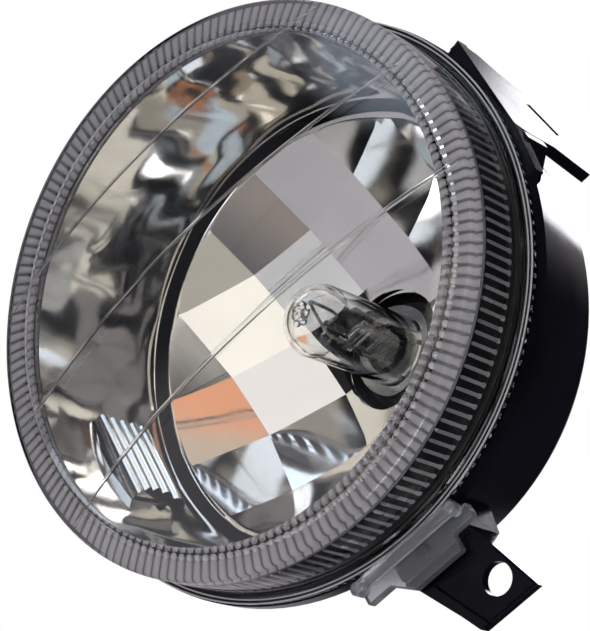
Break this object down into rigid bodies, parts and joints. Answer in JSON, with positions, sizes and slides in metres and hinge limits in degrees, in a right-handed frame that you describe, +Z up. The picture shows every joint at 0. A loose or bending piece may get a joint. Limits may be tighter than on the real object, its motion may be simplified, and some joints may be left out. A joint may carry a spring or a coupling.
{
  "type": "automotive fog light",
  "caption": "Round fog light: fluted clear domed lens, faceted chrome reflector on an aiming hinge, twist-lock bulb and black housing with a mounting ear and side tab.",
  "frame": {"origin": "on the optical axis, in the plane of the front shoulder of the lens flange, where the bumper ring seats", "axes": "-Y forward, the way the light shines; +Z up; +X to the right of a viewer who faces the lens"},
  "size_m": [0.1048, 0.0888, 0.1232],
  "materials": {
    "housing_plastic": "gloss black",
    "clear_lens": "clear, fluted inside at the edge",
    "sealant": "matte",
    "chrome_trim": "vacuum metallised",
    "mirror_coat": "vacuum metallised, faceted",
    "ball_steel": "zinc plated",
    "nylon": "natural nylon",
    "bulb_glass": "clear",
    "stem_glass": "pressed",
    "lead_wire": "drawn",
    "tungsten": "drawn",
    "ferrule_metal": "spun",
    "base_plastic": "moulded, glass filled",
    "seal_rubber": "silicone",
    "contact_brass": "tinned edge",
    "boot_rubber": "matte",
    "membrane": "expanded film"
  },
  "bodies": {
    "housing": {"housing": "housing_plastic", "lens": "clear_lens", "lens_seal": "sealant", "trim_bezel": "chrome_trim", "pivot_stud_left": "ball_steel", "pivot_stud_right": "ball_steel", "rear_boot": "boot_rubber", "vent_membrane": "membrane", "vent_cap": "boot_rubber"},
    "reflector": {"reflector": "mirror_coat", "pivot_socket_left": "nylon", "pivot_socket_right": "nylon", "aim_socket": "nylon"},
    "bulb": {"bulb_glass": "bulb_glass", "bulb_stem": "stem_glass", "bulb_lead_wires": "lead_wire", "bulb_filament": "tungsten", "bulb_bead": "stem_glass", "bulb_ferrule": "ferrule_metal", "bulb_base": "base_plastic", "bulb_o_ring": "seal_rubber", "bulb_terminals": "contact_brass"},
    "aim_screw": {"aim_screw": "ball_steel", "aim_screw_clip": "ball_steel"},
    "aim_nut": {"aim_nut": "nylon"}
  },
  "joints": [
    {"name": "reflector_tilt", "type": "hinge", "parent": "housing", "child": "reflector", "pos_m": [0, 0.0374, -0.024], "axis": [1, 0, 0], "range_deg": [-2.5, 2.5], "deforming": ["rear_boot"]},
    {"name": "aim_nut_slide", "type": "slide", "parent": "housing", "child": "aim_nut", "axis": [0, 1, 0], "range_m": [-0.0026, 0.0026]},
    {"name": "aim_screw_turn", "type": "hinge", "parent": "housing", "child": "aim_screw", "pos_m": [0, 0.052, 0.034], "axis": [0, 1, 0], "range_deg": [-732, 732]},
    {"name": "bulb_twist", "type": "hinge", "parent": "reflector", "child": "bulb", "pos_m": [0, 0.0492, 0], "axis": [0, 1, 0], "range_deg": [-40, 0]}
  ],
  "couplings": [
    {"joint": "aim_nut_slide", "follows": "reflector_tilt", "m_per_rad": -0.058},
    {"joint": "aim_screw_turn", "follows": "reflector_tilt", "ratio": 291.54}
  ]
}
